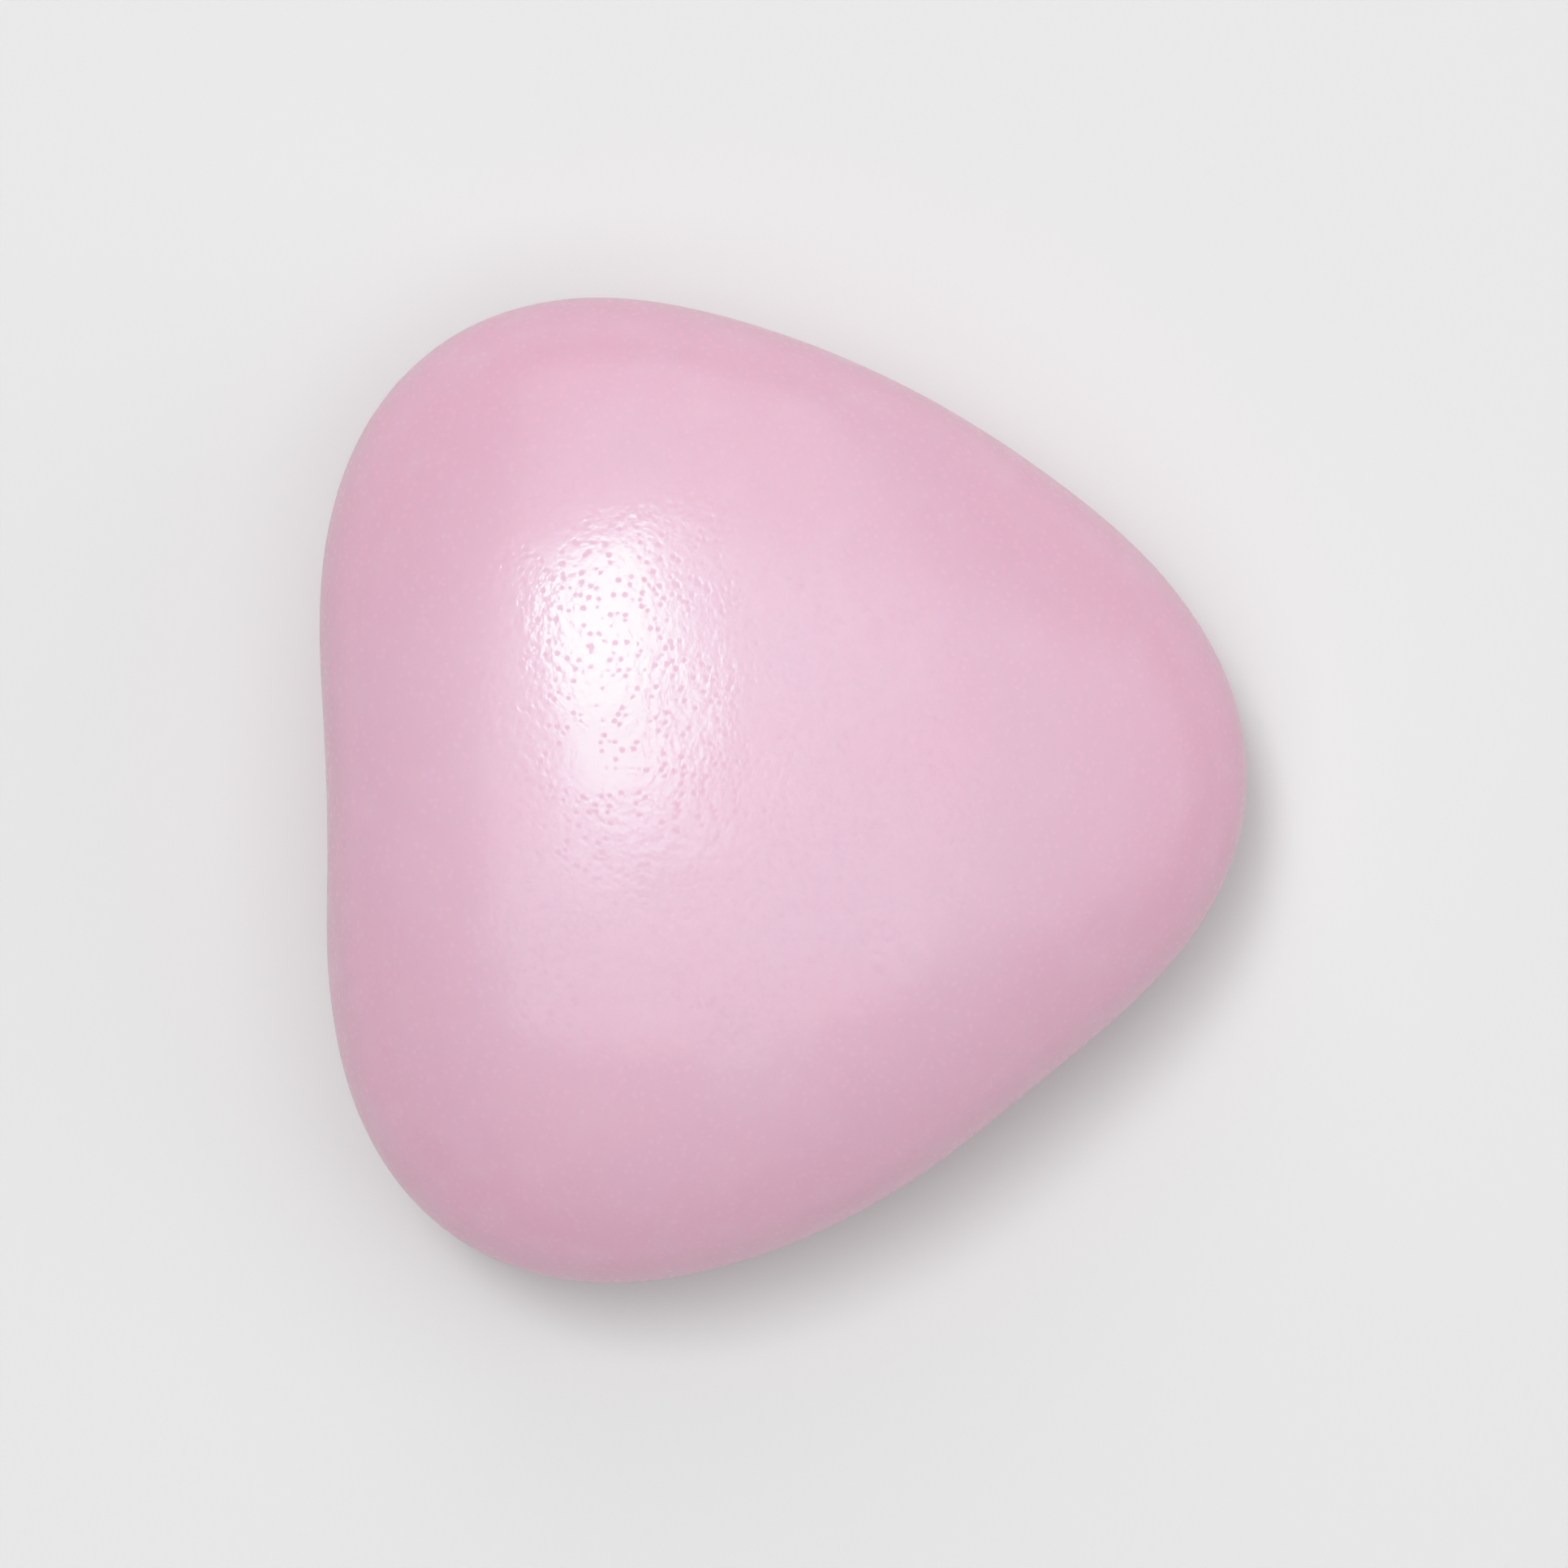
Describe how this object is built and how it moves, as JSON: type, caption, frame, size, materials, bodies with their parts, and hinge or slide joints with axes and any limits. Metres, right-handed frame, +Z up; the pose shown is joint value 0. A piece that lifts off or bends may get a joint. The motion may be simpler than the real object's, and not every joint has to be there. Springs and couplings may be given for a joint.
{
  "type": "chocolate heart dragee",
  "caption": "Small pink heart dragee: a flat, plump sweet with a smooth, satin sugar shell, two rounded lobes, a nearly filled cleft and a blunt tip, lying on one face.",
  "frame": {"origin": "middle of the bottom of the sweet's box, on the surface that it lies on", "axes": "+Z up through the sweet's thickness, +X across the two lobes, -Y towards the tip, so the cleft faces +Y"},
  "size_m": [0.018, 0.0168, 0.0074],
  "materials": {
    "sugar_shell": "pale pink panned sugar, polished to a satin gloss"
  },
  "bodies": {
    "root": {"heart_dragee": "sugar_shell"}
  },
  "joints": []
}
